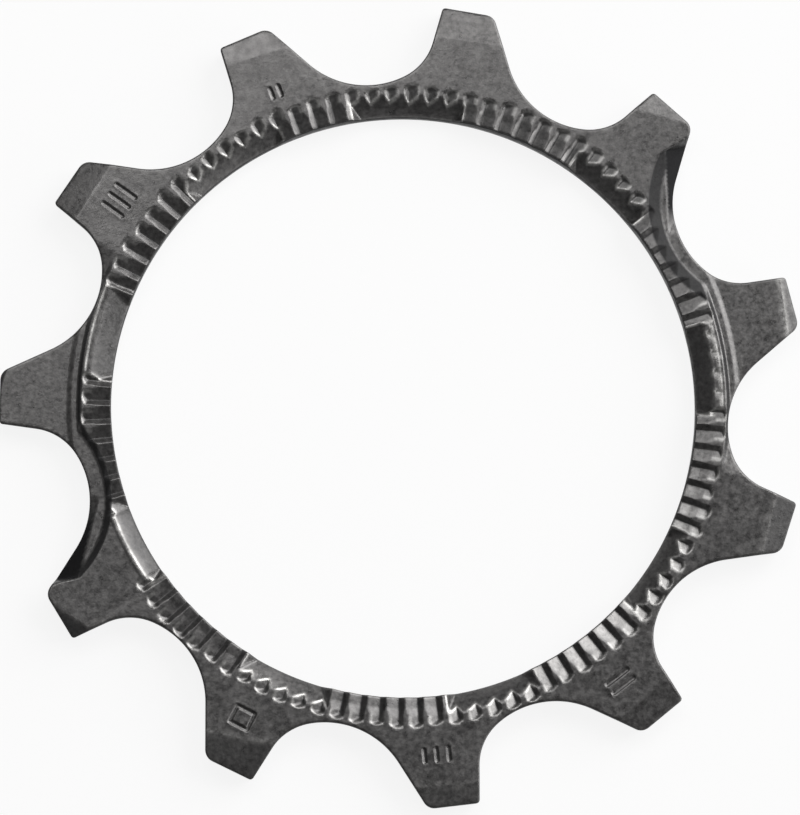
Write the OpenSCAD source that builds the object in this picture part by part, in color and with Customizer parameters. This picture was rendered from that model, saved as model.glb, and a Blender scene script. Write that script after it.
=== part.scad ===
// Small cassette sprocket, stamped and pressed from one piece of dark steel.
// It lies flat on its plain back face. The origin is at the middle of the bore, on that face,
// and the pressed face with the ratchet serrations looks up.

/* [Chain] */
// Number of teeth
teeth = 11; // [11:1:14]
// Distance between two rollers of the chain
chain_pitch = 12.7; // [12.6:0.1:13.2]
// Diameter of a roller, which sets how deep the gaps reach
roller_d = 7.8; // [7.5:0.1:7.9]
// Where the middle of the first gap lies, in degrees from +X
first_gap = 29.9; // [0:0.1:32]

/* [Teeth] */
// Thickness of the plate
thickness = 1.8; // [1.6:0.1:2.4]
// Radius of the wide arc at the bottom of a gap
seat_r = 5; // [4.4:0.1:5.4]
// Radius of the tighter arc that leads up to the steep flank
drive_r = 3.2; // [2.4:0.1:4]
// How far past the bottom of the gap the tighter arc starts, in degrees
drive_turn = 21; // [12:1:30]
// Lean of the steep flank away from the tooth's middle line, in degrees
drive_lean = 5; // [0:0.5:9]
// Lean of the sloping flank away from the tooth's middle line, in degrees
back_lean = 27.3; // [22:0.1:30]
// Height of the tips above the pitch circle
tip_rise = 0.63; // [0.2:0.01:1]
// Slant of the tips, in degrees
tip_slope = 1.5; // [0:0.5:4]
// Corner radius beside the steep flank
drive_corner = 0.2; // [0.1:0.05:0.4]
// Corner radius beside the sloping flank
back_corner = 0.7; // [0.3:0.1:1]
// Bevel of each tip, from the first tooth on: distance below the tip, skew and tilt in degrees
tip_bevels = [[0.3, 28, 15], [1.7, 3, 12], [1.3, -4, 8], [1.5, 3, 16], [0.1, -15, 25], [0, 28, 20],
              [1.7, 18, 8], [1.2, 0, 6], [1.4, 1, 16], [1, 7, 16], [0.7, -14, 14]];

/* [Bore and recesses] */
// Diameter of the bore
bore_d = 33.5; // [32.6:0.1:33.6]
// Radial width of the sloping recesses round the bore
recess_w = 1.3; // [0.9:0.05:1.5]
// How deep the recesses cut down the bore's wall
recess_depth = 0.9; // [0.5:0.05:1.2]
// Number of lands that carry the serrations right to the bore
lands = 9; // [7:1:10]
// Middle of the first land, in degrees from +X
first_land = 27; // [20:1:34]
// Arc that a land takes up, in degrees
land_arc = 22; // [18:0.5:24]
// Which land is narrower than the others
narrow_land = 2; // [0:1:6]
// Arc of the narrow land, in degrees
narrow_arc = 13; // [10:0.5:16]
// Slope of the ends of a land, in degrees from upright
land_slope = 40; // [20:1:55]

/* [Serrations] */
// Number of ratchet serrations in a full turn
serrations = 100; // [90:1:104]
// Radial length of a serration, from the bore outwards
serration_len = 1.75; // [1.5:0.05:1.75]
// Depth of a serration
serration_depth = 0.25; // [0.15:0.01:0.35]
// Share of a serration's width that its long slope takes up
slope_share = 0.7; // [0.55:0.01:0.85]
// Where the steep wall of the first serration lies, in degrees from +X
first_serration = 2.7; // [0:0.1:3.6]
// Recesses whose outer edge the serrations leave smooth, by the number of the land before them
smooth_recesses = [3, 4, 8];

/* [Shift ramps] */
// Gaps at which the chain climbs over the face
ramp_gaps = [0, 5];
// Radius of the channel round the bottom of such a gap
ramp_r = 6.3; // [5.8:0.1:6.5]
// How far the channel reaches up the sloping flank beside the gap
ramp_reach = 5.3; // [4.6:0.1:5.8]
// Height of the step at the edge of the channel
ramp_drop = 0.28; // [0.15:0.01:0.35]
// How far the steps of the channel lean, from foot to top
ramp_lean = 0.25; // [0.05:0.01:0.25]
// Width of the shelf behind the next tooth
shelf_w = 0.6; // [0.3:0.05:1]
// Height of the second step, beyond the shelf
shelf_drop = 0.14; // [0.05:0.01:0.2]
// Gap between the serrated band and the first step behind the next tooth
shelf_gap = 0.1; // [0.05:0.01:0.14]
// How far these steps run on past the middle of the next gap, in degrees
shelf_past = 5.6; // [0:0.2:8]
// Length of the facet along the sloping flank
facet_len = 2.2; // [1.4:0.1:2.6]
// Width of that facet, where it meets the channel's end
facet_w = 1.3; // [0.9:0.05:1.4]
// Tilt of that facet, in degrees
facet_tilt = 30; // [10:1:35]

/* [Hidden] */

$fn = 96;
tooth_a = 360 / teeth;
pitch_r = chain_pitch / 2 / sin(180 / teeth);
root_r = pitch_r - roller_d / 2;
tip_r = pitch_r + tip_rise;
bore_r = bore_d / 2;
band_r = bore_r + serration_len;
// height by which every cutter stands clear of the face
over = 0.5;
// height by which the grooves and bevels run out above the face
clear = 0.03;
// share of the serrations' pitch at the bore that is cut away
fill = 0.9;
// share of the facet's width that is left where it starts, and where on the gap's arc that is
facet_thin = 0.3;
facet_from = 25;
// largest turn between two points of an arc in the outline
arc_step = 6;

// headings of the tooth's edges in the frame of a gap: x along the rim, y outwards
back_a = 90 - tooth_a / 2 - back_lean;
drive_a = 90 - tooth_a / 2 - drive_lean;
seat_c = [0, root_r + seat_r];
drive_c = seat_c + (seat_r - drive_r) * dir(drive_turn - 90);

function dir(a) = [cos(a), sin(a)];
function turned(p, a) = [p.x * cos(a) - p.y * sin(a), p.x * sin(a) + p.y * cos(a)];
function arc(c, r, a0, a1, n) = [for (i = [0:n]) c + r * dir(a0 + (a1 - a0) * i / n)];
function arc_points(a0, a1) = ceil(abs(a1 - a0) / arc_step);
// where the line through p with heading a meets the line through q with heading b
function meet(p, a, q, b) = p + dir(a) * cross(q - p, dir(b)) / cross(dir(a), dir(b));
// a corner at p, rounded by r, that the outline reaches with heading a and leaves with heading b
function rounded(p, a, b, r) =
    let (start = p - r * tan((a - b) / 2) * dir(a), c = start + r * dir(a - 90))
    arc(c, r, a + 90, b + 90, max(2, arc_points(a, b) / 3));

// one gap with the corners of the two teeth beside it, clockwise round the rim
function gap_outline() =
    let (back_p = seat_c + seat_r * dir(-90 - back_a),
         drive_p = drive_c + drive_r * dir(drive_a - 90),
         tip_back = turned([0, tip_r], tooth_a / 2),
         tip_drive = turned([0, tip_r], -tooth_a / 2),
         back_k = meet(back_p, -back_a, tip_back, tip_slope + tooth_a / 2),
         drive_k = meet(drive_p, drive_a, tip_drive, tip_slope - tooth_a / 2))
    concat(rounded(back_k, tip_slope + tooth_a / 2, -back_a, back_corner),
           arc(seat_c, seat_r, -90 - back_a, drive_turn - 90, arc_points(back_a, -drive_turn)),
           [for (i = [1:arc_points(drive_turn, drive_a)])
               drive_c + drive_r * dir(drive_turn - 90
                   + (drive_a - drive_turn) * i / arc_points(drive_turn, drive_a))],
           rounded(drive_k, drive_a, tip_slope - tooth_a / 2, drive_corner));

// the whole rim, gap after gap
function rim() = [for (i = [0:teeth - 1], p = gap_outline()) turned(p, gap_angle(-i) - 90)];

// angles from +X of a gap, a tooth and a land
function gap_angle(i) = first_gap + i * tooth_a;
function tooth_angle(i) = gap_angle(i) + tooth_a / 2;
function land_angle(i) = first_land + i * 360 / lands;
function arc_of(i) = i == narrow_land ? narrow_arc : land_arc;

// turn from a to b, between -180 and 180 degrees
function apart(a, b) = let (d = (b - a) % 360) d > 180 ? d - 360 : d < -180 ? d + 360 : d;
// true where angle a lies on a recess whose edge stays smooth
function is_smooth(a) = len([for (k = smooth_recesses)
    if (apart(land_angle(k) + arc_of(k) / 2, a) > 0
        && apart(land_angle(k + 1) - arc_of((k + 1) % lands) / 2, a) < 0
        && abs(apart(land_angle(k + 0.5), a)) < 180 / lands) 1]) > 0;

// plate with its teeth and its bore
module plate() {
    difference() {
        linear_extrude(thickness)
            polygon(rim());
        translate([0, 0, -over])
            cylinder(r = bore_r, h = thickness + 2 * over);
    }
}

// groove of one serration along +X: a long slope down, then a steep wall up
module serration() {
    w = fill * 2 * PI * bore_r / serrations;
    slope_w = w * slope_share;
    grow = 1 + clear / serration_depth;
    translate([bore_r - over, 0, thickness])
        rotate([90, 0, 90])
            linear_extrude(serration_len + 2 * over)
                polygon([[-slope_w * grow, clear], [0, -serration_depth], [(w - slope_w) * grow, clear]]);
}

// all serrations, with their outer ends cut at a slant
module ratchet() {
    intersection() {
        for (i = [0:serrations - 1])
            let (a = first_serration + i * 360 / serrations)
                if (!is_smooth(a))
                    rotate([0, 0, a])
                        serration();
        translate([0, 0, thickness - over])
            cylinder(r1 = band_r - over, r2 = band_r + over, h = 2 * over);
    }
}

// block that keeps one land, wider at its foot than on top
module land(a) {
    top = 2 * (bore_r + recess_w / 2) * tan(a / 2);
    translate([bore_r - 2 * over, 0, thickness])
        rotate([90, 0, 90])
            linear_extrude(recess_w + 6 * over)
                polygon([for (s = [[-1, -1], [1, -1], [1, 1], [-1, 1]])
                    let (z = s.y > 0 ? 2 * over : -recess_depth - 2 * over)
                        [s.x * (top / 2 - z * tan(land_slope)), z]]);
}

// sloping recesses between the lands
module recesses() {
    slope = recess_w / recess_depth;
    difference() {
        translate([0, 0, thickness - recess_depth - over])
            cylinder(r1 = bore_r - slope * over, r2 = bore_r + recess_w + slope * over,
                     h = recess_depth + 2 * over);
        for (i = [0:lands - 1])
            rotate([0, 0, land_angle(i)])
                land(arc_of(i));
    }
}

// bevel of one tip, in the frame of a tooth that points along +Y
module tip_bevel(inset, skew, tilt) {
    translate([0, tip_r - inset, thickness])
        rotate([0, 0, skew])
            rotate([-tilt, 0, 0])
                translate([-chain_pitch / 2, -thickness / 2, 0])
                    cube([chain_pitch, chain_pitch / 2, 2 * thickness]);
}

// sector of the face outside radius r, h deep, from a gap clockwise to a little past the next one
module sector(r, h) {
    lean = ramp_lean / ramp_drop;
    far = tip_r + thickness;
    rotate([0, 0, 90 - tooth_a - shelf_past])
        rotate_extrude(angle = tooth_a + shelf_past)
            polygon([[r + ramp_lean, thickness - h], [far, thickness - h], [far, thickness + over],
                     [r + ramp_lean - lean * (h + over), thickness + over]]);
}

// channel in which the chain climbs, in the frame of a gap that points along +Y
module shift_ramp() {
    lean = ramp_lean / ramp_drop;
    shelf_r = band_r + shelf_gap;
    difference() {
        translate([0, seat_c.y, thickness - ramp_drop])
            cylinder(r1 = ramp_r - ramp_lean, r2 = ramp_r + lean * over, h = ramp_drop + over);
        translate([-ramp_reach - pitch_r, 0, 0])
            cube([pitch_r, 2 * pitch_r, 2 * thickness + over]);
    }
    sector(shelf_r, ramp_drop);
    sector(shelf_r + shelf_w, ramp_drop + shelf_drop);
    flank_facet();
}

// slanting facet that runs out of the channel along the sloping flank
module flank_facet() {
    foot = seat_c + seat_r * dir(-90 - back_a);
    far = foot + facet_len * dir(180 - back_a) - facet_w * dir(90 - back_a);
    near = seat_c + (seat_r + facet_thin * facet_w) * dir(-90 - facet_from);
    intersection() {
        translate([near.x, near.y, thickness - ramp_drop])
            rotate([0, 0, atan2(near.y - far.y, near.x - far.x)])
                rotate([-facet_tilt, 0, 0])
                    translate([-ramp_r, -facet_w, 0])
                        cube([2 * ramp_r, ramp_r, 2 * thickness]);
        translate([-ramp_reach, seat_c.y - ramp_r, 0])
            cube([ramp_reach, ramp_r, thickness + over]);
    }
}

module sprocket() {
    color("dimgray")
        difference() {
            plate();
            ratchet();
            recesses();
            for (i = [0:teeth - 1], b = [tip_bevels[i % len(tip_bevels)]])
                rotate([0, 0, tooth_angle(i) - 90])
                    tip_bevel(b[0], b[1], b[2]);
            for (i = ramp_gaps)
                rotate([0, 0, gap_angle(i) - 90])
                    shift_ramp();
        }
}

sprocket();
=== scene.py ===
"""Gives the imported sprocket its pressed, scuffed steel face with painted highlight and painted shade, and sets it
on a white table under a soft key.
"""

import logging
import math
from dataclasses import dataclass, field
from enum import Enum

import bmesh
import bpy
import numpy as np
from mathutils import Matrix, Vector
from mathutils.geometry import delaunay_2d_cdt


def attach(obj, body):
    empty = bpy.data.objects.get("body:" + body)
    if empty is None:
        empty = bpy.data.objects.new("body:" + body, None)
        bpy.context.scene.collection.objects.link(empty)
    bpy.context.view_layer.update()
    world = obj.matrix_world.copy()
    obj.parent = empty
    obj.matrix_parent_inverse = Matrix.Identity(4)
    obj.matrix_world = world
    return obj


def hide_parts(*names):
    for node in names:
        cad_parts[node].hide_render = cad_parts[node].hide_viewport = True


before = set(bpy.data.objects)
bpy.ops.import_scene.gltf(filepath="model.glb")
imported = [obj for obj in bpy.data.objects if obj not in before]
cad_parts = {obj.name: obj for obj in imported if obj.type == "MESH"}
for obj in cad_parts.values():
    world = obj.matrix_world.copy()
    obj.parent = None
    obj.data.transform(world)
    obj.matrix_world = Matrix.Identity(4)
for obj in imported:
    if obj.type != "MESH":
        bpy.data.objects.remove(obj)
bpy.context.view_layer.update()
LOG = logging.getLogger("sprocket")
MM = 0.001
FAR = 9.0  # millimetres, past anything that is near


class Ray(Enum):
    """Kinds of ray that see the plain white of the table."""

    CAMERA = "Is Camera Ray"
    GLOSSY = "Is Glossy Ray"
    TRANSMISSION = "Is Transmission Ray"


def add(tree: bpy.types.NodeTree, kind: str, values: "dict | None" = None, **settings: str) -> bpy.types.Node:
    """Adds a node.

    Args:
        tree: The tree that takes it.
        kind: Blender's name of the node.
        values: What goes into its inputs: a field, another node's output or a plain value.
        settings: Its other settings.

    Returns:
        The node.
    """
    node = tree.nodes.new(kind)
    for name, value in settings.items():
        setattr(node, name, value)
    for key, value in (values or {}).items():
        if isinstance(value, (Field, bpy.types.NodeSocket)):
            tree.links.new(getattr(value, "socket", value), node.inputs[key])
        else:
            node.inputs[key].default_value = value
    return node


class Field:
    """A number at every point of a surface, worked out by maths nodes."""

    def __init__(self, tree: bpy.types.NodeTree, socket: bpy.types.NodeSocket) -> None:
        """Wraps one output socket.

        Args:
            tree: The node tree that the socket belongs to.
            socket: The output that carries the number.
        """
        self.tree = tree
        self.socket = socket

    def op(self, operation: str, *terms: "Field | float") -> "Field":
        """Adds one maths node.

        Args:
            operation: Blender's name of the operation.
            terms: What follows this number in it.

        Returns:
            The result of the operation.
        """
        node = add(self.tree, "ShaderNodeMath", dict(enumerate((self, *terms))), operation=operation)
        return Field(self.tree, node.outputs[0])

    def __add__(self, other: "Field | float") -> "Field":
        """The sum."""
        return self.op("ADD", other)

    def __sub__(self, other: "Field | float") -> "Field":
        """The difference."""
        return self.op("SUBTRACT", other)

    def __mul__(self, other: "Field | float") -> "Field":
        """The product."""
        return self.op("MULTIPLY", other)

    def __truediv__(self, other: "Field | float") -> "Field":
        """The quotient."""
        return self.op("DIVIDE", other)

    def rest(self) -> "Field":
        """What is left of one."""
        return self * -1.0 + 1.0

    def gone(self, width: float) -> "Field":
        """A fall from 1 at nought to 0 at this width."""
        return (self / -width + 1.0).over(0.0)

    def over(self, other: "Field | float", soft: float = 0.0) -> "Field":
        """The greater of two numbers, with the corner between them rounded by soft."""
        return self.op("SMOOTH_MAX", other, soft) if soft else self.op("MAXIMUM", other)

    def under(self, other: "Field | float", soft: float = 0.0) -> "Field":
        """The lesser of two numbers, with the corner between them rounded by soft."""
        return self.op("SMOOTH_MIN", other, soft) if soft else self.op("MINIMUM", other)

    def within(self, low: float, high: "Field | float") -> "Field":
        """The number, kept between low and high."""
        return self.over(low).under(high)

    def unit(self) -> "Field":
        """The number, kept between 0 and 1."""
        return self.within(0.0, 1.0)

    def size(self) -> "Field":
        """The number without its sign."""
        return self.op("ABSOLUTE")

    def apart(self, angle: "Field | float") -> "Field":
        """The turn from angle to this one, between -180 and 180 degrees."""
        return (self - angle).op("WRAP", 180.0, -180.0)


def waves(tree: bpy.types.NodeTree, place: bpy.types.NodeSocket, scale: float, detail: float,
          rough: float = 0.5) -> Field:
    """Adds smooth noise.

    Args:
        tree: The tree that takes it.
        place: Where each point lies.
        scale: Waves per millimetre.
        detail: Octaves.
        rough: How much of each octave the next one keeps.

    Returns:
        The noise, between 0 and 1.
    """
    values = {"Vector": place, "Scale": scale / MM, "Detail": detail, "Roughness": rough}
    node = add(tree, "ShaderNodeTexNoise", values)
    return Field(tree, node.outputs[0])


def placed(name: str, data: bpy.types.ID) -> bpy.types.Object:
    """Puts a new object into the scene.

    Args:
        name: What it is called.
        data: Its mesh, lamp or camera.

    Returns:
        The object.
    """
    made = bpy.data.objects.new(name, data)
    bpy.context.scene.collection.objects.link(made)
    return made


def turned(points: np.ndarray, degrees: float) -> np.ndarray:
    """Turns points about the origin.

    Args:
        points: Rows of x and y.
        degrees: The turn, counter-clockwise.

    Returns:
        The turned rows.
    """
    a = math.radians(degrees)
    c, s = math.cos(a), math.sin(a)
    return points @ np.array([[c, s], [-s, c]])


def heading(degrees: "float | np.ndarray") -> np.ndarray:
    """The unit vector, or rows of them, at these angles from +X."""
    a = np.radians(degrees)
    return np.stack([np.cos(a), np.sin(a)], axis=-1)


@dataclass
class Rim:
    """The toothed outline, in millimetres: the same arcs and flanks as the solid's."""

    teeth: int = 11
    chain_pitch: float = 12.7
    roller_d: float = 7.8
    first_gap: float = 29.9
    seat_r: float = 5.0
    drive_r: float = 3.2
    drive_turn: float = 21.0
    drive_lean: float = 5.0
    back_lean: float = 27.3
    tip_rise: float = 0.63
    tip_slope: float = 1.5
    drive_corner: float = 0.2
    back_corner: float = 0.7
    spacing: float = 0.14

    def __post_init__(self) -> None:
        """Works out the circles and headings that follow from the chain."""
        self.tooth_a = 360 / self.teeth
        self.pitch_r = self.chain_pitch / 2 / math.sin(math.pi / self.teeth)
        self.root_r = self.pitch_r - self.roller_d / 2
        self.tip_r = self.pitch_r + self.tip_rise
        self.back_a = 90 - self.tooth_a / 2 - self.back_lean
        self.drive_a = 90 - self.tooth_a / 2 - self.drive_lean
        self.seat_c = np.array([0.0, self.root_r + self.seat_r])
        self.drive_c = self.seat_c + (self.seat_r - self.drive_r) * heading(self.drive_turn - 90)

    def gap_angle(self, i: float) -> float:
        """Angle of a gap from +X."""
        return self.first_gap + i * self.tooth_a

    def tooth_angle(self, i: float) -> float:
        """Angle of a tooth from +X."""
        return self.gap_angle(i + 0.5)

    def arc(self, centre: np.ndarray, r: float, a0: float, a1: float) -> np.ndarray:
        """Points along an arc about centre, from the angle a0 to a1, its ends included."""
        steps = max(3, math.ceil(abs(math.radians(a1 - a0)) * r / self.spacing))
        return centre + r * heading(np.linspace(a0, a1, steps + 1))

    @staticmethod
    def meet(p: np.ndarray, a: float, q: np.ndarray, b: float) -> np.ndarray:
        """Where the line through p with heading a meets the line through q with heading b."""
        (ux, uy), (vx, vy), (wx, wy) = heading(a), heading(b), q - p
        return p + heading(a) * (wx * vy - wy * vx) / (ux * vy - uy * vx)

    def corner(self, p: np.ndarray, a: float, b: float, r: float) -> np.ndarray:
        """The corner at p rounded by r, reached with heading a and left with heading b."""
        start = p - r * math.tan(math.radians((a - b) / 2)) * heading(a)
        return self.arc(start + r * heading(a - 90), r, a + 90, b + 90)

    def gap(self) -> np.ndarray:
        """One gap with the corners beside it.

        Returns:
            Rows of x, along the rim, and y, outwards.
        """
        half = self.tooth_a / 2
        back_p = self.seat_c + self.seat_r * heading(-90 - self.back_a)
        drive_p = self.drive_c + self.drive_r * heading(self.drive_a - 90)
        tip_back = turned(np.array([[0.0, self.tip_r]]), half)[0]
        tip_drive = turned(np.array([[0.0, self.tip_r]]), -half)[0]
        back_k = self.meet(back_p, -self.back_a, tip_back, self.tip_slope + half)
        drive_k = self.meet(drive_p, self.drive_a, tip_drive, self.tip_slope - half)
        return np.concatenate([
            self.corner(back_k, self.tip_slope + half, -self.back_a, self.back_corner),
            self.arc(self.seat_c, self.seat_r, -90 - self.back_a, self.drive_turn - 90),
            self.arc(self.drive_c, self.drive_r, self.drive_turn - 90, self.drive_a - 90)[1:],
            self.corner(drive_k, self.drive_a, self.tip_slope - half, self.drive_corner),
        ])

    def outline(self) -> np.ndarray:
        """The whole rim, with its straight flanks and tips subdivided.

        Returns:
            Rows of x and y, counter-clockwise.
        """
        gap = self.gap()
        rough = np.concatenate([turned(gap, self.gap_angle(-i) - 90) for i in range(self.teeth)])[::-1]
        fine = []
        for p, q in zip(rough, np.roll(rough, -1, axis=0)):
            steps = max(1, round(np.linalg.norm(q - p) / self.spacing))
            fine.append(p + (q - p) * (np.arange(steps) / steps)[:, None])
        return np.concatenate(fine)

    @staticmethod
    def inset(loop: np.ndarray, depth: float) -> np.ndarray:
        """The same loop, moved inwards.

        Args:
            loop: Rows of x and y, counter-clockwise.
            depth: How far each point moves.

        Returns:
            As many rows.
        """
        along = np.roll(loop, -1, axis=0) - np.roll(loop, 1, axis=0)
        along /= np.linalg.norm(along, axis=1)[:, None]
        return loop + depth * np.stack([-along[:, 1], along[:, 0]], axis=1)

    def in_gap(self, points: np.ndarray, i: int) -> np.ndarray:
        """The points in the frame of a gap, x clockwise along the rim and y outwards."""
        return turned(points, 90 - self.gap_angle(i))


@dataclass(frozen=True)
class Bevel:
    """The slant of one tooth's tip."""

    tooth: int
    inset: float
    skew: float
    tilt: float
    # Painted shade on a bevel that faces away from the light, and a painted highlight along its crease.
    painted_shade: float = 0.0
    crease_highlight: float = 0.0
    round_w: float = 0.06
    painted_shade_w: float = 0.12
    crease_in: float = 0.05
    crease_w: float = 0.22

    def reach(self, rim: Rim, points: np.ndarray) -> np.ndarray:
        """How far points lie past the bevel's edge, in millimetres.

        Args:
            rim: The outline that carries the tooth.
            points: Rows of x and y.

        Returns:
            One number a row, less than nought inside the edge.
        """
        local = turned(points, 90 - rim.tooth_angle(self.tooth))
        d = (local - np.array([0.0, rim.tip_r - self.inset])) @ heading(90 + self.skew)
        on_tooth = (np.abs(local[:, 0]) < rim.chain_pitch / 2) & (local[:, 1] > 0)
        return np.where(on_tooth, d, -FAR)

    def depth(self, rim: Rim, points: np.ndarray) -> np.ndarray:
        """How deep the bevel cuts at each point, with its edge rounded."""
        d, w = self.reach(rim, points), self.round_w
        return np.where(d > -w, np.where(d < w, (d + w) ** 2 / (4 * w), d), 0.0) * math.tan(math.radians(self.tilt))

    def dark(self, rim: Rim, points: np.ndarray) -> np.ndarray:
        """How much painted shade the bevel gets at each point, from 0 to 1."""
        return np.clip(self.reach(rim, points) / self.painted_shade_w, 0, 1) * self.painted_shade

    def shine(self, rim: Rim, points: np.ndarray) -> np.ndarray:
        """How strong the painted highlight along the bevel's crease is at each point, from 0 to 1."""
        return np.exp(-(((self.reach(rim, points) + self.crease_in) / self.crease_w) ** 2)) * self.crease_highlight


@dataclass(frozen=True)
class Mark:
    """A plain mark struck into one tooth, as straight strokes in the tooth's own frame."""

    tooth: int
    strokes: tuple
    width: float = 0.13
    depth: float = 0.075
    slope_share: float = 0.6
    lip_w: float = 0.05
    lip: float = 0.012

    def distance(self, rim: Rim, points: np.ndarray) -> np.ndarray:
        """How far points lie from the middle of the nearest stroke.

        Args:
            rim: The outline that carries the tooth.
            points: Rows of x and y.

        Returns:
            One number a row.
        """
        local = turned(points, 90 - rim.tooth_angle(self.tooth))
        best = np.full(len(points), FAR)
        for x0, y0, x1, y1 in self.strokes:
            p, d = np.array([x0, y0]), np.array([x1 - x0, y1 - y0])
            t = np.clip(((local - p) @ d) / (d @ d), 0, 1)
            best = np.minimum(best, np.linalg.norm(local - p - t[:, None] * d, axis=1))
        return best

    def struck(self, rim: Rim, points: np.ndarray) -> np.ndarray:
        """How deep the mark is, with a small raised lip round it.

        Args:
            rim: The outline that carries the tooth.
            points: Rows of x and y.

        Returns:
            One number a row, less than nought on the lip.
        """
        d = self.distance(rim, points)
        floor = np.clip((self.width - d) / (self.slope_share * self.width), 0, 1)
        lip = np.exp(-(((d - self.width - self.lip_w) / self.lip_w) ** 2))
        return self.depth * floor * floor * (3 - 2 * floor) - self.lip * lip


@dataclass
class Blank:
    """The stamped plate before its face is pressed, as one closed mesh."""

    rim: Rim
    thickness: float = 1.8
    bore_r: float = 16.78
    bore_flare: float = 0.03
    fine_r: float = 17.5
    band_r: float = 18.5
    slope_share: float = 0.7
    first_serration: float = 2.7
    serrations: int = 100
    coarse: float = 0.135
    fine: float = 0.062
    back_grid: float = 0.6
    edge_clear: float = 0.19
    bevels: list[Bevel] = field(default_factory=list)
    marks: list[Mark] = field(default_factory=list)
    ramp_gaps: tuple = (0, 5)
    channel_r: float = 6.3
    channel_end: float = 5.3
    shelf_r: float = 18.6
    step_r: float = 19.25
    taper: float = 0.15
    edge_rings: tuple = ((0.0, 0.06), (0.03, 0.022), (0.075, 0.004), (0.14, 0.0))

    def angles(self) -> np.ndarray:
        """Angles of the band's columns.

        Returns:
            The angles, gathered at the crest and the foot of each serration.
        """
        wall = 1 - self.slope_share
        at_wall = [0, 0.045, wall / 2 - 0.02, wall - 0.06, wall - 0.02, wall + 0.02, wall + 0.07]
        on_slope = [0.44, 0.53, 0.62, 0.71, 0.8, 0.89, 0.96]
        turns = np.arange(self.serrations)[:, None] + np.array(at_wall + on_slope)
        return (turns * 360 / self.serrations + self.first_serration).ravel()

    def radii(self) -> np.ndarray:
        """Radii of the band's rows.

        Returns:
            The radii, close together at the bore and where the serrations end.
        """
        rows = [self.bore_r + depth for depth, _ in self.edge_rings]
        rows += list(np.linspace(self.bore_r + 0.24, self.fine_r, 7))
        rows += list(np.linspace(self.fine_r, self.band_r, 17)[1:])
        return np.array(rows)

    def walls(self, points: np.ndarray) -> np.ndarray:
        """Distance from the nearest step, bevel or mark, where the mesh is finer.

        Args:
            points: Rows of x and y.

        Returns:
            One number a row.
        """
        near = np.full(len(points), FAR)
        r = np.linalg.norm(points, axis=1)
        for i in self.ramp_gaps:
            p = self.rim.in_gap(points, i)
            channel = (p[:, 0] > -6) & (p[:, 0] < 4) & (p[:, 1] > 0)
            q = np.linalg.norm(p - self.rim.seat_c, axis=1)
            for side in (q - self.channel_r, p[:, 0] + self.channel_end):
                near = np.where(channel, np.minimum(near, np.abs(side)), near)
            a = np.degrees(np.arctan2(p[:, 0], p[:, 1]))
            shelf = (a > -2) & (a < self.rim.tooth_a + 6)
            for side in (np.abs(r - self.shelf_r), np.abs(r - self.step_r) - 0.12):
                near = np.where(shelf, np.minimum(near, side), near)
        for bevel in self.bevels:
            near = np.minimum(near, np.abs(bevel.reach(self.rim, points)) + 0.1)
        for mark in self.marks:
            near = np.minimum(near, mark.distance(self.rim, points))
        return near

    def lattice(self, step: float) -> np.ndarray:
        """Points of a triangular grid over the teeth, clear of the band and the edge.

        Args:
            step: Distance between neighbours.

        Returns:
            Rows of x and y.
        """
        top = self.rim.tip_r
        across = np.arange(-top, top, step)
        rows = enumerate(np.arange(-top, top, step * math.sqrt(3) / 2))
        points = np.concatenate([np.stack([across + (k % 2) * step / 2, np.full(len(across), y)], axis=1)
                                 for k, y in rows])
        loop = self.rim.outline()
        a = np.arctan2(loop[:, 1], loop[:, 0])
        order = np.argsort(a)
        edge = np.interp(np.arctan2(points[:, 1], points[:, 0]), a[order],
                         np.linalg.norm(loop, axis=1)[order], period=2 * math.pi)
        r = np.linalg.norm(points, axis=1)
        points = points[(r > self.band_r + 0.05) & (r < edge)]
        gap = np.full(len(points), FAR)
        batch = 400
        for k in range(0, len(loop), batch):
            apart = points[:, None] - loop[None, k:k + batch]
            gap = np.minimum(gap, np.linalg.norm(apart, axis=2).min(axis=1))
        return points[gap > self.edge_clear]

    @staticmethod
    def filled(flat: np.ndarray, edge: int, hole: int) -> tuple[np.ndarray, np.ndarray, list]:
        """Triangles between an outline and a hole.

        Args:
            flat: Rows of x and y: the outline's, then the hole's, then those between.
            edge: How many points the outline has.
            hole: How many the hole has.

        Returns:
            Points, triangles, and the rows of flat that each point comes from.
        """
        rings = [list(range(edge)), list(range(edge, edge + hole))]
        corners = [Vector(p) for p in flat.tolist()]
        verts, _, tris, origin, _, owners = delaunay_2d_cdt(corners, [], rings, 1, 1e-6)
        keep = np.array([t for t, o in zip(tris, owners) if 1 not in o])
        return np.array([v[:] for v in verts]), keep, origin

    def face(self) -> tuple[np.ndarray, np.ndarray, np.ndarray]:
        """The face over the teeth.

        Returns:
            Points, their drop below the face, and triangles.
        """
        loop = self.rim.outline()
        circle = self.band_r * heading(self.angles())
        points, drops = [loop, circle], [np.full(len(loop), self.edge_rings[0][1]), np.zeros(len(circle))]
        for depth, drop in self.edge_rings[1:]:
            ring = self.rim.inset(loop, depth)
            ring = ring[np.linalg.norm(ring, axis=1) > self.band_r + 0.025]
            points.append(ring)
            drops.append(np.full(len(ring), drop))
        coarse, fine = self.lattice(self.coarse), self.lattice(self.fine)
        points += [coarse[self.walls(coarse) > 0.26], fine[self.walls(fine) <= 0.22]]
        drops += [np.zeros(len(part)) for part in points[-2:]]
        drop = np.concatenate(drops)
        verts, tris, origin = self.filled(np.concatenate(points), len(loop), len(circle))
        return verts, np.array([drop[o[0]] if o else 0.0 for o in origin]), tris

    def back(self) -> tuple[np.ndarray, np.ndarray]:
        """The plain back face, with rounded edges left to the walls.

        Returns:
            Points and triangles.
        """
        loop = self.rim.inset(self.rim.outline(), self.taper)
        circle = (self.bore_r + self.bore_flare) * heading(self.angles())
        flat = np.concatenate([loop, circle, self.lattice(self.back_grid)])
        verts, tris, _ = self.filled(flat, len(loop), len(circle))
        return verts, tris[:, ::-1]

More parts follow.
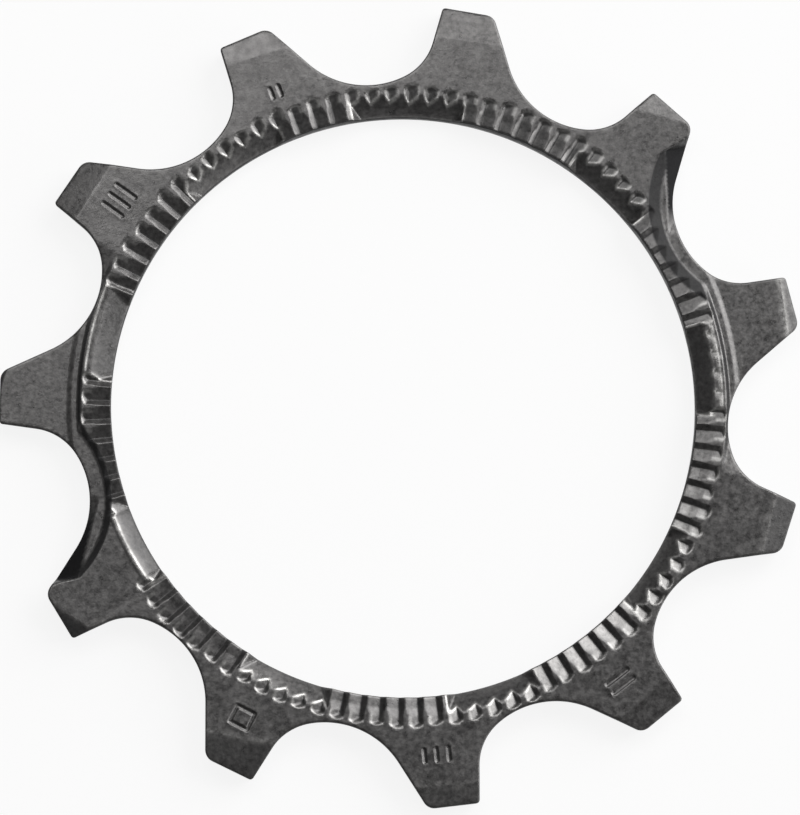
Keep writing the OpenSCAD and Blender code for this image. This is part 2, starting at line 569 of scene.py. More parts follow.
    @staticmethod
    def strip(upper: np.ndarray, lower: np.ndarray) -> tuple[np.ndarray, np.ndarray]:
        """A closed strip of quads between two loops of as many points."""
        n, i = len(upper), np.arange(len(upper))
        return np.concatenate([upper, lower]), np.stack([i, i + n, np.roll(i + n, -1), np.roll(i, -1)], axis=1)

    def wall(self, loop: np.ndarray, foot: np.ndarray, shares: tuple) -> list[tuple[np.ndarray, np.ndarray]]:
        """A wall from the face's edge to the back's.

        Args:
            loop: Rows of x and y of the wall's top.
            foot: Rows of x and y of the back's edge.
            shares: How far each of four rings has drawn in towards the foot, from the top down.

        Returns:
            Points and quads of each strip.
        """
        heights = np.linspace(self.thickness - self.edge_rings[0][1], 0.05, len(shares))
        rings = [np.column_stack([loop + (foot - loop) * t, np.full(len(loop), z)]) for z, t in zip(heights, shares)]
        rings.append(np.column_stack([foot, np.zeros(len(foot))]))
        return [self.strip(a, b) for a, b in zip(rings, rings[1:])]

    def band(self) -> list[tuple[np.ndarray, np.ndarray]]:
        """The ring of the face that takes the serrations and recesses.

        Returns:
            Points and quads of each strip.
        """
        ways = heading(self.angles())
        rings = []
        for k, r in enumerate(self.radii()):
            drop = self.edge_rings[k][1] if k < len(self.edge_rings) else 0.0
            rings.append(np.column_stack([r * ways, np.full(len(ways), self.thickness - drop)]))
        return [self.strip(a, b) for a, b in zip(rings, rings[1:])]

    def painted_shade(self, points: np.ndarray) -> np.ndarray:
        """How much painted shade edges, walls and shaded bevels get.

        Args:
            points: Rows of x, y and z.

        Returns:
            One number a row, from 0 to 1, less towards the back.
        """
        z = points[:, 2]
        # Painted shade: the outer wall is darker towards the face, and the bore wall is dark.
        outer = np.clip((z - 1.0) / 0.5, 0.08, 1)
        inner = np.clip(z / 0.5, 0.75, 1.0)
        below = np.clip((self.thickness - self.edge_rings[1][1] + 0.006 - z) / 0.02, 0, 1)
        in_bore = np.linalg.norm(points[:, :2], axis=1) < self.bore_r + self.bore_flare + 0.01
        painted_shade = below * np.where(in_bore, inner, outer)
        for bevel in self.bevels:
            painted_shade = np.maximum(painted_shade, bevel.dark(self.rim, points[:, :2]))
        return painted_shade

    @staticmethod
    def store(mesh: bpy.types.Mesh, name: str, values: np.ndarray) -> None:
        """Keeps a number for each vertex under a name."""
        mesh.attributes.new(name, "FLOAT", "POINT").data.foreach_set("value", values)

    def mesh(self) -> bpy.types.Mesh:
        """Joins the face, the band, the walls and the back.

        Returns:
            A closed mesh in metres, with the depth of bevels and marks in the attribute "struck", and two masks
            in attributes: the painted shade of edges, walls and bevels, and the painted highlight of creases.
        """
        flat, drop, tris = self.face()
        under, under_tris = self.back()
        parts = [(np.column_stack([flat, self.thickness - drop]), tris),
                 (np.column_stack([under, np.zeros(len(under))]), under_tris), *self.band()]
        loop, ways = self.rim.outline(), heading(self.angles())
        parts += self.wall(loop, self.rim.inset(loop, self.taper), (0.0, 0.15, 0.5, 0.8))
        parts += self.wall(self.bore_r * ways, (self.bore_r + self.bore_flare) * ways, (0.0, 0.0, 0.0, 0.0))
        work = bmesh.new()
        for points, faces in parts:
            verts = [work.verts.new(p) for p in (points * MM).tolist()]
            for f in faces.tolist():
                work.faces.new([verts[k] for k in f])
        bmesh.ops.remove_doubles(work, verts=work.verts, dist=0.002 * MM)
        bmesh.ops.recalc_face_normals(work, faces=work.faces)
        mesh = bpy.data.meshes.new("sprocket_blank")
        work.to_mesh(mesh)
        work.free()
        co = np.zeros(len(mesh.vertices) * 3)
        mesh.vertices.foreach_get("co", co)
        co = co.reshape(-1, 3) / MM
        flat = co[:, :2]
        struck = np.max([np.zeros(len(co))] + [bevel.depth(self.rim, flat) for bevel in self.bevels], axis=0)
        for mark in self.marks:
            struck += mark.struck(self.rim, flat)
        self.store(mesh, "struck", struck)
        self.store(mesh, "painted_shade", self.painted_shade(co))
        self.store(mesh, "crease_highlight", np.max([bevel.shine(self.rim, flat) for bevel in self.bevels], axis=0))
        return mesh


class Draw(Enum):
    """Fixed seeds of what varies from one serration to the next."""

    DEPTH = 3
    END = 5
    BOW = 7


class PressSheet:
    """The Geometry Nodes tree that presses the blank's face, with its named sizes."""

    def __init__(self, name: str) -> None:
        """Starts the tree.

        Args:
            name: Name of the tree.
        """
        self.tree = bpy.data.node_groups.new(name, "GeometryNodeTree")
        self.tree.interface.new_socket("Blank", in_out="INPUT", socket_type="NodeSocketGeometry")
        self.tree.interface.new_socket("Pressed", in_out="OUTPUT", socket_type="NodeSocketGeometry")
        self.entry = self.tree.nodes.new("NodeGroupInput")
        self.exit = self.tree.nodes.new("NodeGroupOutput")
        self.last = self.entry.outputs["Blank"]
        self.values: dict[str, float] = {}
        place = add(self.tree, "ShaderNodeSeparateXYZ", {0: add(self.tree, "GeometryNodeInputPosition").outputs[0]})
        self.x = Field(self.tree, place.outputs[0]) / MM
        self.y = Field(self.tree, place.outputs[1]) / MM
        self.height = Field(self.tree, place.outputs[2])
        facing = add(self.tree, "ShaderNodeSeparateXYZ", {0: add(self.tree, "GeometryNodeInputNormal").outputs[0]})
        self.rise = Field(self.tree, facing.outputs[2])
        self.r = (self.x * self.x + self.y * self.y).op("SQRT")
        self.angle = self.y.op("ARCTAN2", self.x).op("DEGREES")

    def then(self, kind: str, values: "dict | None" = None, **settings: str) -> None:
        """Adds the next step that the shape passes through."""
        node = add(self.tree, kind, {"Geometry": self.last, **(values or {})}, **settings)
        self.last = node.outputs[0]

    def input(self, name: str, value: float) -> Field:
        """Adds a named size to the tree.

        Args:
            name: What the size is called.
            value: What the modifier sets it to.

        Returns:
            The size as a number.
        """
        socket = self.tree.interface.new_socket(name, in_out="INPUT", socket_type="NodeSocketFloat")
        socket.default_value = value
        self.values[socket.identifier] = value
        return Field(self.tree, self.entry.outputs[name])

    def named(self, name: str) -> Field:
        """Reads a number stored on the mesh."""
        node = add(self.tree, "GeometryNodeInputNamedAttribute", {"Name": name}, data_type="FLOAT")
        return Field(self.tree, node.outputs["Attribute"])

    def chance(self, index: Field, low: float, high: float, draw: Draw) -> Field:
        """A random number between low and high for each index."""
        values = {2: low, 3: high, "ID": index, "Seed": draw.value}
        return Field(self.tree, add(self.tree, "FunctionNodeRandomValue", values, data_type="FLOAT").outputs[1])

    def noise(self, scale: float, detail: float) -> Field:
        """Noise over the face, between about -0.5 and 0.5."""
        place = add(self.tree, "GeometryNodeInputPosition").outputs[0]
        return waves(self.tree, place, scale, detail) - 0.5


@dataclass(frozen=True)
class SmoothArc:
    """A recess whose outer edge has a rounded ridge in place of serrations."""

    start: float
    stop: float
    ridge_r: float
    ridge_w: float
    wider: float
    strength: float = 1.0

    def mask(self, sheet: PressSheet) -> Field:
        """Where the arc is, from 0 to 1, fading over a degree at both ends."""
        off = sheet.angle.apart((self.start + self.stop) / 2).size()
        return (off * -1.0 + (self.stop - self.start) / 2).unit() * self.strength

    def hump(self, sheet: PressSheet) -> Field:
        """The ridge's share at each point, from 0 to 1 on top."""
        off = (sheet.r - self.ridge_r) / self.ridge_w
        return (off * off).rest().over(0.0).op("POWER", 2.0) * self.mask(sheet)


@dataclass(frozen=True)
class Patch:
    """An arc of the band that gets a painted tone: shade on one arc, highlight on another."""

    middle: float
    half: float
    amount: float
    fade_a: float = 8.0

    def mask(self, sheet: PressSheet) -> Field:
        """Its strength at each point."""
        off = sheet.angle.apart(self.middle).size()
        return ((off * -1.0 + self.half) / self.fade_a).unit() * self.amount


@dataclass
class Serrations:
    """Ratchet serrations round the bore: a long slope, then a short steep wall."""

    count: int = 100
    first: float = 2.7
    depth: float = 0.27
    depth_spread: tuple = (0.86, 1.1)
    slope_share: float = 0.7
    crest_round: float = 0.1
    end_r: float = 18.6
    end_spread: tuple = (-0.14, 0.05)
    end_round: float = 0.32
    bow_spread: tuple = (0.9, 1.25)
    end_slope: float = 0.62
    crest_r: float = 17.4
    crest_w: float = 0.5
    crest: float = 0.055
    foot: float = 0.09
    smooth_arcs: tuple = (SmoothArc(157.0, 175.0, 18.42, 0.13, 0.3), SmoothArc(200.5, 214.5, 17.84, 0.24, -0.16),
                          SmoothArc(-1.0, 15.5, 18.2, 0.2, 0.0, 0.8))
    # Painted shade on the slopes at the top, which face away from the light, and a painted highlight on the slopes at
    # the lower right, which face it.
    painted_slope_shade: Patch = Patch(76.0, 42.0, 0.42)
    painted_slope_highlight: Patch = Patch(312.0, 36.0, 0.15)

    def smooth(self, sheet: PressSheet) -> Field:
        """Where the serrations leave the edge smooth, from 0 to 1."""
        first, second, third = (arc.mask(sheet) for arc in self.smooth_arcs)
        return first.over(second).over(third)

    def ridge(self, sheet: PressSheet) -> Field:
        """The rounded ridge along the smooth edges, from 0 to 1 on top."""
        first, second, third = (arc.hump(sheet) for arc in self.smooth_arcs)
        return first.over(second).over(third)

    def spread(self, sheet: PressSheet) -> Field:
        """How much wider the recesses are where their edge is smooth, in millimetres."""
        first, second, third = (arc.mask(sheet) * arc.wider for arc in self.smooth_arcs)
        return first + second + third

    def cut(self, sheet: PressSheet) -> tuple[Field, Field, Field]:
        """Adds the serrations' nodes.

        Args:
            sheet: The tree that takes them.

        Returns:
            Their depth at each point, then from 0 to 1 the painted shade in them and the painted highlight on their
            slopes.
        """
        count = sheet.input("Serrations", float(self.count))
        first = sheet.input("First serration", self.first)
        depth = sheet.input("Serration depth", self.depth)
        slope = sheet.input("Slope share", self.slope_share)
        end = sheet.input("End radius", self.end_r)
        curve = sheet.input("End rounding", self.end_round)
        turn = (sheet.angle - first + 360.0) * count / 360.0 - slope.rest()
        index = turn.op("FLOOR")
        share = turn - index
        deep = depth * sheet.chance(index, *self.depth_spread, Draw.DEPTH)
        groove = deep * (share / slope).under(share.rest() / slope.rest(), self.crest_round)
        groove = groove - ((sheet.r - self.crest_r) / self.crest_w).unit() * self.crest
        bow = share * 2.0 - sheet.chance(index, *self.bow_spread, Draw.BOW)
        reach = end + sheet.chance(index, *self.end_spread, Draw.END) - bow * bow * curve
        groove = groove.under((reach - sheet.r) * self.end_slope, 0.04)
        groove = (groove * self.smooth(sheet).rest()).over(0.0)
        # Painted shade in the crease at the foot of each wall, and on the slopes of one arc.
        foot = (share - self.slope_share - 0.02).size().gone(self.foot)
        foot = foot * (groove / self.depth * 1.6 - 0.5).unit()
        slopes = ((share * -1.0 + self.slope_share) * 8.0).unit() * (groove * 12.0).unit()
        return groove, foot.over(slopes * self.painted_slope_shade.mask(sheet)), slopes * self.painted_slope_highlight.mask(sheet)


@dataclass
class Recesses:
    """Sloping recesses between the lands, with a raised ridge where their edge is smooth."""

    bore_r: float = 16.75
    width: float = 1.3
    depth: float = 0.9
    lands: int = 9
    first_land: float = 27.0
    land_arc: float = 22.0
    narrow_angle: float = 107.0
    narrow_arc: float = 13.0
    land_slope: float = 37.0
    knee: float = 0.22
    sag: float = 1.35
    end_round: float = 0.16
    edge_round: float = 0.1

    def cut(self, sheet: PressSheet, smooth: Field, wider: Field) -> Field:
        """Adds the recesses' nodes.

        Args:
            sheet: The tree that takes them.
            smooth: Where the recess ends in a rounded edge, from 0 to 1.
            wider: How much wider it is there, in millimetres.

        Returns:
            Their depth at each point.
        """
        bore = sheet.input("Bore radius", self.bore_r)
        width = sheet.input("Recess width", self.width)
        depth = sheet.input("Recess depth", self.depth)
        arc = sheet.input("Land arc", self.land_arc)
        narrow = sheet.input("Narrow land arc", self.narrow_arc)
        pitch = 360.0 / self.lands
        left = ((sheet.r - bore) / (width + wider)).rest()
        cone = depth * (left + (left.over(0.0).op("POWER", self.sag) - left) * smooth.rest())
        turn = sheet.angle.apart(self.first_land) / pitch
        off = (turn - turn.op("ROUND")).size() * pitch
        bent = (cone * cone + self.knee * self.knee).op("SQRT") - self.knee
        cone = cone + (bent - cone) * smooth * cone.op("GREATER_THAN", 0.0)
        slim = sheet.angle.apart(self.narrow_angle).size().op("LESS_THAN", pitch / 2)
        half = (arc + (narrow - arc) * slim) / 2.0
        side = (off - half) * sheet.r * (math.radians(1) / math.tan(math.radians(self.land_slope)))
        return cone.under(side, self.end_round).over(0.0, self.edge_round)


@dataclass
class ShiftRamp:
    """A channel in which the chain climbs over the face, with two steps behind the next tooth."""

    gap_angle: float
    seat_y: float
    tooth_a: float
    label: str
    radius: float = 6.3
    wall: float = 0.42
    # Painted shade and painted shadow on the channel's wall and the shelf's wall.
    wall_painted_shade: float = 0.9
    reach: float = 5.35
    drop: float = 0.3
    lean: float = 0.24
    foot_round: float = 0.08
    edge: float = 0.04
    shelf_r: float = 18.5
    shelf_past: float = 9.0
    shelf_fade: float = 7.0
    shelf_painted_shade: float = 0.85
    step_r: float = 19.05
    step_w: float = 0.3
    step_drop: float = 0.1
    facet_at: tuple = (-2.41, 18.88)
    facet_way: tuple = (0.462, 0.887)
    facet_tilt: float = 33.0

    def leaning(self, depth: Field, drop: Field) -> Field:
        """Where a wall is between its top and its foot, from 0 to 1."""
        return (depth / self.edge).unit() * ((drop - depth) / self.edge).unit()

    def channel(self, sheet: PressSheet, drop: Field, steep: Field) -> tuple[Field, Field]:
        """The channel round the gap, with the facet on the flank.

        Args:
            sheet: The tree that takes it.
            drop: Depth of its floor.
            steep: Slope of its end.

        Returns:
            Its depth at each point, and the painted shade on its wall and facet, from 0 to 1.
        """
        a = math.radians(self.gap_angle)
        x = sheet.x * math.sin(a) - sheet.y * math.cos(a)
        y = sheet.x * math.cos(a) + sheet.y * math.sin(a)
        dy = y - self.seat_y
        q = (x * x + dy * dy).op("SQRT")
        inside = ((q * -1.0 + self.radius) * (drop / self.wall)).under((x + self.reach) * steep, 0.05)
        (at_x, at_y), (way_x, way_y) = self.facet_at, self.facet_way
        facet = ((x - at_x) * way_x + (y - at_y) * way_y) * math.tan(math.radians(self.facet_tilt))
        facet = facet.under((x * -1.0 - 1.0) * 0.3, 0.15).over(0.0, 0.05)
        facet = facet.under(((x + self.reach) * (steep * 2.0)).over(0.0))
        front = y.over(0.0).op("GREATER_THAN", 0.01)
        cut = (inside.under(drop, self.foot_round) + facet).over(0.0)
        flat = (facet / 0.05).unit() * (x * -0.8 - 0.9).unit()
        return cut * front, (self.leaning(inside, drop) * self.wall_painted_shade).over(flat) * front

    def cut(self, sheet: PressSheet) -> tuple[Field, Field]:
        """Adds the ramp's nodes.

        Args:
            sheet: The tree that takes them.

        Returns:
            Its depth at each point, and the painted shade and painted shadow on its steps and its facet, from 0 to 1.
        """
        drop = sheet.input(f"{self.label} drop", self.drop)
        steep = drop / sheet.input(f"{self.label} lean", self.lean)
        channel, dark = self.channel(sheet, drop, steep)
        behind = sheet.angle.apart(self.gap_angle) * -1.0
        past = (behind * -1.0 + (self.tooth_a + self.shelf_past)) / self.shelf_fade
        window = (behind * 0.5).unit().under(past).over(0.0)
        rise = (sheet.r - self.shelf_r) * steep
        shelf = rise.under(drop, self.foot_round).over(0.0, 0.05)
        dark = dark * (shelf * window).gone(1 / 12)
        dark = dark.over(self.leaning(rise, drop) * window * self.shelf_painted_shade * channel.gone(0.25))
        step = (sheet.r - self.step_r) * (self.step_drop / self.step_w)
        step = step.under(self.step_drop, self.edge).over(0.0, self.edge)
        return channel.over((shelf + step) * window), dark


class FinishSheet:
    """A material's node tree, with the few nodes that the finish uses."""

    def __init__(self, name: str) -> None:
        """Starts the material.

        Args:
            name: Name of the material.
        """
        self.made = bpy.data.materials.new(name)
        self.made.use_nodes = True
        self.tree = self.made.node_tree
        self.shader = self.tree.nodes["Principled BSDF"]
        self.coords = add(self.tree, "ShaderNodeTexCoord").outputs["Object"]

    def noise(self, scale: float, detail: float) -> Field:
        """Noise in the object's own space, between 0 and 1."""
        return waves(self.tree, self.coords, scale, detail, 0.6)

    def spread(self, source: Field, span: tuple, to_span: tuple) -> Field:
        """Stretches one span of values to another, and cuts off what lies past it."""
        node = add(self.tree, "ShaderNodeMapRange", dict(enumerate((source, *span, *to_span))))
        return Field(self.tree, node.outputs[0])

    def named(self, name: str) -> Field:
        """Reads a number stored on the mesh."""
        return Field(self.tree, add(self.tree, "ShaderNodeAttribute", attribute_name=name).outputs["Fac"])

    def blend(self, factor: Field, a: "Field | tuple", b: "Field | tuple") -> Field:
        """Mixes two colours, each a field or plain values, by the share of the second."""
        node = add(self.tree, "ShaderNodeMix", {0: factor, 6: a, 7: b}, data_type="RGBA")
        return Field(self.tree, node.outputs[2])

    def set(self, name: str, value: Field) -> None:
        """Links a result to one of the shader's sockets."""
        self.tree.links.new(value.socket, self.shader.inputs[name])


@dataclass(frozen=True)
class DarkSteel:
    """Dark, speckled steel with bright edges, partly scuffed and partly painted highlight, and painted shade."""

    name: str = "dark_steel"
    metal: float = 0.85
    shine: float = 0.5
    dark: tuple = (0.072, 0.07, 0.07, 1.0)
    pale: tuple = (0.21, 0.205, 0.202, 1.0)
    # Colour of the bright edges, partly scuffed and partly painted highlight.
    worn_and_painted_light: tuple = (0.7, 0.69, 0.67, 1.0)
    # Colour of painted shade.
    painted_shade: tuple = (0.017, 0.017, 0.018, 1.0)
    painted_shade_most: float = 0.97
    rough: tuple = (0.27, 0.46)
    speckle_share: float = 0.55
    relief: float = 0.03

    def material(self) -> bpy.types.Material:
        """Builds the finish from noise in the object's own space and the mesh's own masks.

        Returns:
            The material.
        """
        sheet = FinishSheet(self.name)
        speckle = sheet.spread(sheet.noise(4.2, 4.0), (0.32, 0.68), (0.0, 1.0))
        cloud = sheet.spread(sheet.noise(0.75, 3.0), (0.35, 0.65), (0.25, 0.75))
        grain = speckle * self.speckle_share + cloud * (1 - self.speckle_share)
        colour = sheet.blend(grain, self.dark, self.pale)
        # Bright edges, partly scuffed and partly painted highlight.
        edge = sheet.named("wear_and_painted_light") * (speckle * 0.6 + 0.5)
        colour = sheet.blend(edge.unit(), colour, self.worn_and_painted_light)
        # Painted shade: the mesh's shade mask darkens the colour and takes away metal and specular shine.
        unshaded = (sheet.named("painted_shade") * -self.painted_shade_most + 1.0).over(0.0)
        sheet.set("Base Color", sheet.blend(unshaded, self.painted_shade, colour))
        sheet.set("Metallic", unshaded * self.metal)
        sheet.set("Specular IOR Level", unshaded * self.shine)
        sheet.set("Roughness", sheet.spread(sheet.noise(2.1, 3.0), (0.3, 0.7), self.rough))
        relief = sheet.noise(3.1, 3.0) * 0.7 + sheet.noise(9.0, 2.0) * 0.3
        bump = add(sheet.tree, "ShaderNodeBump", {"Strength": 0.5, "Distance": self.relief * MM, "Height": relief})
        sheet.set("Normal", Field(sheet.tree, bump.outputs[0]))
        return sheet.made


@dataclass(frozen=True)
class WearAndPaintedLight:
    """Where the pressed face gets bright edges, partly scuffed and partly painted highlight, and where it gets
    painted shade.
    """

    crossing_w: float = 0.09
    shallow: float = 0.05
    rim_depth: float = 0.045
    rim_r: float = 17.85
    rim_most: float = 0.55
    ridge_least: float = 0.62
    ridge_uneven: float = 1.6
    ridge_waves: float = 1.1
    foot_painted_shade: float = 0.85
    hollow_painted_shade: float = 0.38

    def crossing(self, groove: Field, recess: Field) -> Field:
        """The edge where serrations run out into a recess, from 0 to 1."""
        edge = (groove - recess).size().gone(self.crossing_w)
        return edge * (groove.under(recess) / self.shallow).unit()

    def rims(self, sheet: PressSheet, groove: Field) -> Field:
        """The bright rims of the serrations, partly scuffed and partly painted highlight, from 0 to 1."""
        rim = (groove / self.rim_depth - 1.0).size().rest().over(0.0)
        return rim * ((sheet.r - self.rim_r) * 5.0).within(0.0, self.rim_most)

    def ridges(self, sheet: PressSheet, ridge: Field) -> Field:
        """The ridges along smooth edges, made bright unevenly, partly scuffed and partly painted highlight."""
        return ridge * (sheet.noise(self.ridge_waves, 2.0) * self.ridge_uneven + self.ridge_least)

    def feet(self, foot: Field, recess: Field) -> Field:
        """The painted shade at the foot of the serrations' walls, from 0 to 1."""
        return foot * recess.gone(1 / 12) * self.foot_painted_shade

    def hollows(self, smooth: Field, recess: Field, ridge: Field) -> Field:
        """The painted shade in recesses with a smooth edge, from 0 to 1."""
        return smooth * (recess * 4.0).under(1.0) * ridge.rest() * self.hollow_painted_shade


@dataclass
class Sprocket:
    """The whole sprocket: a stamped blank, pressed by the tree and dressed in dark steel."""

    rim: Rim = field(default_factory=Rim)
    thickness: float = 1.8
    burr: float = 0.03
    ridge_rise: float = 1.6
    seam: float = 0.03
    serrations: Serrations = field(default_factory=Serrations)
    recesses: Recesses = field(default_factory=Recesses)
    wear_and_painted_light: WearAndPaintedLight = field(default_factory=WearAndPaintedLight)
    finish: DarkSteel = field(default_factory=DarkSteel)
    # The fifth and sixth numbers of each bevel are its painted shade and the painted highlight of its crease.
    bevels: tuple = (
        Bevel(0, 0.3, 28, 15), Bevel(1, 1.7, 3, 12), Bevel(2, 1.3, -4, 8), Bevel(3, 1.5, 3, 16),
        Bevel(4, 0.1, -15, 25, 0.6), Bevel(5, 0, 28, 20, 0.7), Bevel(6, 1.7, 18, 8, 0.3, 0.16),
        Bevel(7, 1.2, 0, 6, 0.12, 0.1), Bevel(8, 1.4, 1, 16), Bevel(9, 1.15, 5, 16, 0.5, 0.1),
        Bevel(10, 0.62, -6, 14, 0.3, 0.4),
    )
    marks: tuple = (
        Mark(2, ((-0.4, 19.25, -0.4, 19.85), (0.1, 19.25, 0.1, 19.85))),
        Mark(3, ((-0.55, 19.5, -0.55, 20.8), (0.1, 19.5, 0.1, 20.8), (0.75, 19.5, 0.75, 20.8))),
        Mark(6, ((-0.6, 19.7, -0.6, 20.7), (-0.6, 20.7, 0.5, 20.7), (0.5, 20.7, 0.5, 19.7), (0.5, 19.7, -0.6, 19.7))),
        Mark(7, ((-0.7, 19.8, -0.7, 20.5), (0.0, 19.8, 0.0, 20.5), (0.7, 19.8, 0.7, 20.5))),
        Mark(8, ((-0.7, 19.8, 0.7, 19.8), (-0.7, 20.4, 0.7, 20.4)), 0.16),
    )

    def ramps(self) -> tuple[ShiftRamp, ShiftRamp]:
        """The right and the left shift ramp, five teeth apart."""
        at = (float(self.rim.seat_c[1]), self.rim.tooth_a)
        # The right ramp's last number is the painted shade on its wall.
        return (ShiftRamp(self.rim.gap_angle(0), *at, "Right ramp", 6.5, 0.85, 0.87),
                ShiftRamp(self.rim.gap_angle(5), *at, "Left ramp"))

    def press(self, sheet: PressSheet, material: bpy.types.Material) -> None:
        """Fills the tree: depths, bright edges (partly scuffed, partly painted highlight), painted shade, smooth
        shading and finish.

        Args:
            sheet: The tree.
            material: The finish that it sets.
        """
        plate = sheet.input("Thickness", self.thickness)
        burr = sheet.input("Burr", self.burr)
        groove, foot, painted_slope_highlight = self.serrations.cut(sheet)
        smooth = self.serrations.smooth(sheet)
        recess = self.recesses.cut(sheet, smooth, self.serrations.spread(sheet))
        (ramp, painted_shade), (other, other_painted_shade) = (made.cut(sheet) for made in self.ramps())
        ramp, painted_shade = ramp.over(other), painted_shade.over(other_painted_shade)
        clear = ramp.gone(0.1)
        ridge = self.serrations.ridge(sheet) * clear
        worn_and_painted_light = self.wear_and_painted_light
        bead = worn_and_painted_light.crossing(groove, recess) * clear
        depth = groove.over(recess, self.seam).over(ramp, self.seam) + sheet.named("struck")
        depth = depth - bead * burr - ridge * (burr * self.ridge_rise)
        upper = (sheet.rise * 5.0 - 0.5).unit()
        painted_slope_highlight = painted_slope_highlight * clear * (groove - recess + 0.03).op("GREATER_THAN", 0.0)
        # Bright edges, creases and slopes facing up: partly scuffed, partly painted highlight.
        bright = bead.over(worn_and_painted_light.rims(sheet, groove) * clear).over(worn_and_painted_light.ridges(sheet, ridge))
        bright = bright.over(sheet.named("crease_highlight")).over(painted_slope_highlight) * upper
        # Painted shade at the walls' feet, in recesses and on the ramps, joined to the blank's painted shade.
        painted_shade = painted_shade.over(worn_and_painted_light.feet(foot, recess)).over(worn_and_painted_light.hollows(smooth, recess, ridge))
        painted_shade = (painted_shade * upper).over(sheet.named("painted_shade"))
        move = add(sheet.tree, "ShaderNodeCombineXYZ", {2: sheet.height * depth / plate * -1.0})
        sheet.then("GeometryNodeSetPosition", {"Offset": move.outputs[0]})
        for name, value in (("wear_and_painted_light", bright), ("painted_shade", painted_shade)):
            sheet.then("GeometryNodeStoreNamedAttribute", {"Name": name, "Value": value}, data_type="FLOAT")
        sheet.then("GeometryNodeSetShadeSmooth")
        sheet.then("GeometryNodeRealizeInstances")
        sheet.then("GeometryNodeSetMaterial", {"Material": material})
        sheet.tree.links.new(sheet.last, sheet.exit.inputs[0])

    def build(self) -> bpy.types.Object:
        """Makes the finished piece.

        Returns:
            One object with a plain mesh, at the origin.
        """
        blank = Blank(self.rim, self.thickness, bevels=list(self.bevels), marks=list(self.marks)).mesh()
        rough = placed("sprocket_rough", blank)
        sheet = PressSheet("press")
        self.press(sheet, self.finish.material())
        modifier = rough.modifiers.new("press", "NODES")
        modifier.node_group = sheet.tree
        for identifier, value in sheet.values.items():
            modifier[identifier] = value
        ready = rough.evaluated_get(bpy.context.evaluated_depsgraph_get())
        mesh = bpy.data.meshes.new_from_object(ready)
        mesh.name = "sprocket_face"
        rough.modifiers.remove(modifier)
        bpy.data.objects.remove(rough)
        piece = placed("sprocket_face", mesh)
        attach(piece, "root")
        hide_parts("sprocket")
        LOG.info("%s: %d vertices, %d faces", piece.name, len(mesh.vertices), len(mesh.polygons))
        return piece


@dataclass(frozen=True)
class Lamp:
    """A soft square lamp that points at the sprocket: bearing and height in degrees, watts, side and distance."""

    name: str
    azimuth: float
    elevation: float
    power: float
    size: float
    far: float = 0.5

    def hang(self) -> None:
        """Hangs the lamp."""
        light = bpy.data.lights.new(self.name, "AREA")
        light.energy = self.power
        light.size = self.size
        lamp = placed(self.name, light)
        flat = heading(self.azimuth) * math.cos(math.radians(self.elevation))
        way = Vector((flat[0], flat[1], math.sin(math.radians(self.elevation))))
        lamp.location = way * self.far
        lamp.rotation_euler = way.to_track_quat("Z", "Y").to_euler()
        LOG.info("lamp %s", self.name)


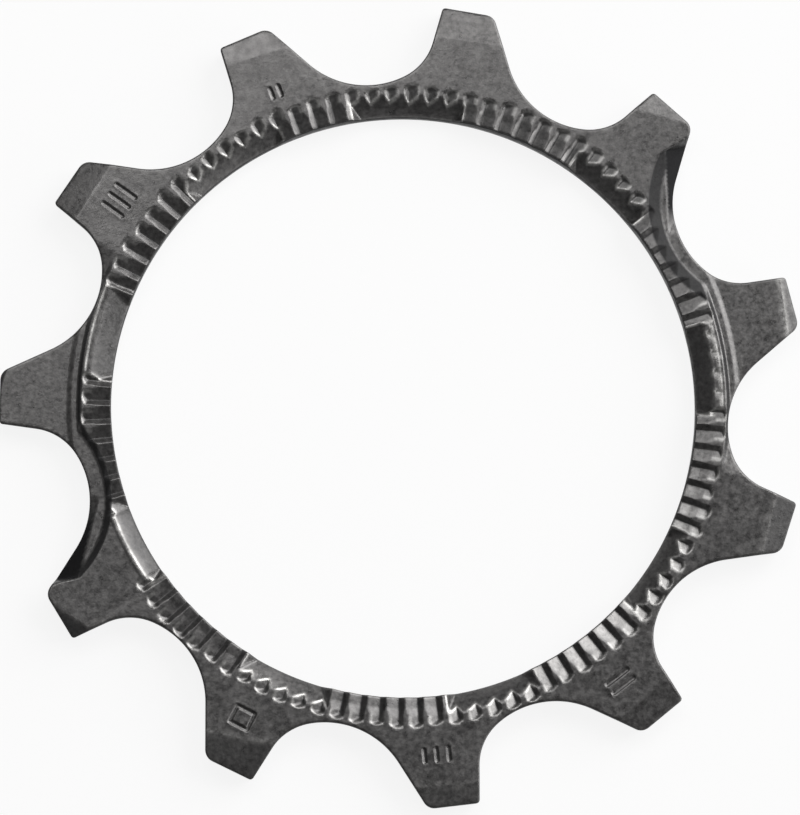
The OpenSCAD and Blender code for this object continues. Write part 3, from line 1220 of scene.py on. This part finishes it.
@dataclass
class Studio:
    """White table, soft key from the upper right, and the camera above the sprocket."""

    distance: float = 0.6
    tilt: float = 6.5
    toward: float = 256.0
    view_height: float = 46.78
    target: tuple = (-0.20, -0.03, 1.0)
    sensor: float = 36.0
    table_size: float = 4.0
    curb_height: float = 0.25
    table_gap: float = 0.02
    paper: float = 0.9
    glow: float = 0.88
    sky: tuple = (0.07, 0.07, 0.07, 1.0)
    lamps: tuple = (Lamp("key", 36, 34, 2.95, 0.46), Lamp("low", -20, 13, 0.75, 0.2),
                    Lamp("top", 108, 62, 0.1, 0.1, 0.2), Lamp("edge", -43, 11, 0.1, 0.22, 0.8))

    def white(self) -> bpy.types.Material:
        """Makes the table's paper, which the camera and reflections see as plain white.

        Returns:
            The material.
        """
        made = bpy.data.materials.new("white_table")
        made.use_nodes = True
        tree = made.node_tree
        paper = tree.nodes["Principled BSDF"]
        paper.inputs["Base Color"].default_value = (self.paper, self.paper, self.paper, 1)
        paper.inputs["Roughness"].default_value = 0.9
        paper.inputs["Specular IOR Level"].default_value = 0.0
        path = add(tree, "ShaderNodeLightPath")
        seen = Field(tree, path.outputs[Ray.CAMERA.value])
        for ray in (Ray.GLOSSY, Ray.TRANSMISSION):
            seen = seen.over(Field(tree, path.outputs[ray.value]))
        glow = add(tree, "ShaderNodeEmission")
        mix = add(tree, "ShaderNodeMixShader", {0: seen * self.glow, 1: paper.outputs[0], 2: glow.outputs[0]})
        tree.links.new(mix.outputs[0], tree.nodes["Material Output"].inputs["Surface"])
        return made

    def table(self) -> None:
        """Lays the table on which the sprocket rests, with a low curb far out."""
        s = self.table_size / 2
        mesh = bpy.data.meshes.new("table")
        corners = [(-s, -s), (s, -s), (s, s), (-s, s)]
        sides = [(k, (k + 1) % 4, (k + 1) % 4 + 4, k + 4) for k in range(4)]
        mesh.from_pydata([(x, y, z) for z in (0, self.curb_height) for x, y in corners], [], [(0, 1, 2, 3), *sides])
        mesh.transform(Matrix.Translation((0, 0, -self.table_gap * MM)))
        table = placed("table", mesh)
        mesh.materials.append(self.white())
        LOG.info("table laid")

    def camera(self) -> None:
        """Sets the camera at the photograph's angle."""
        data = bpy.data.cameras.new("camera")
        data.sensor_width = self.sensor
        data.lens = self.sensor * self.distance / (self.view_height * MM)
        data.clip_start, data.clip_end = 0.05, 20
        camera = placed("camera", data)
        flat = heading(self.toward) * math.sin(math.radians(self.tilt))
        back = Vector((flat[0], flat[1], math.cos(math.radians(self.tilt))))
        x = Vector((0, 1, 0)).cross(back).normalized()
        y = back.cross(x)
        turn = Matrix((x, y, back)).transposed().to_4x4()
        camera.matrix_world = Matrix.Translation(Vector(self.target) * MM + back * self.distance) @ turn
        bpy.context.scene.camera = camera
        bpy.context.scene.view_settings.view_transform = "Standard"
        LOG.info("camera set")

    def room(self) -> None:
        """Fills the room with dim even light."""
        world = bpy.data.worlds.new("room")
        world.use_nodes = True
        world.node_tree.nodes["Background"].inputs[0].default_value = self.sky
        bpy.context.scene.world = world

    def build(self) -> None:
        """Puts up the table, the lamps, the room and the camera."""
        self.table()
        for lamp in self.lamps:
            lamp.hang()
        self.room()
        self.camera()


def main() -> None:
    """Builds the studio and the sprocket."""
    logging.basicConfig(level=logging.INFO, format="%(name)s: %(message)s")
    Studio().build()
    Sprocket().build()


if __name__ == "__main__":
    main()
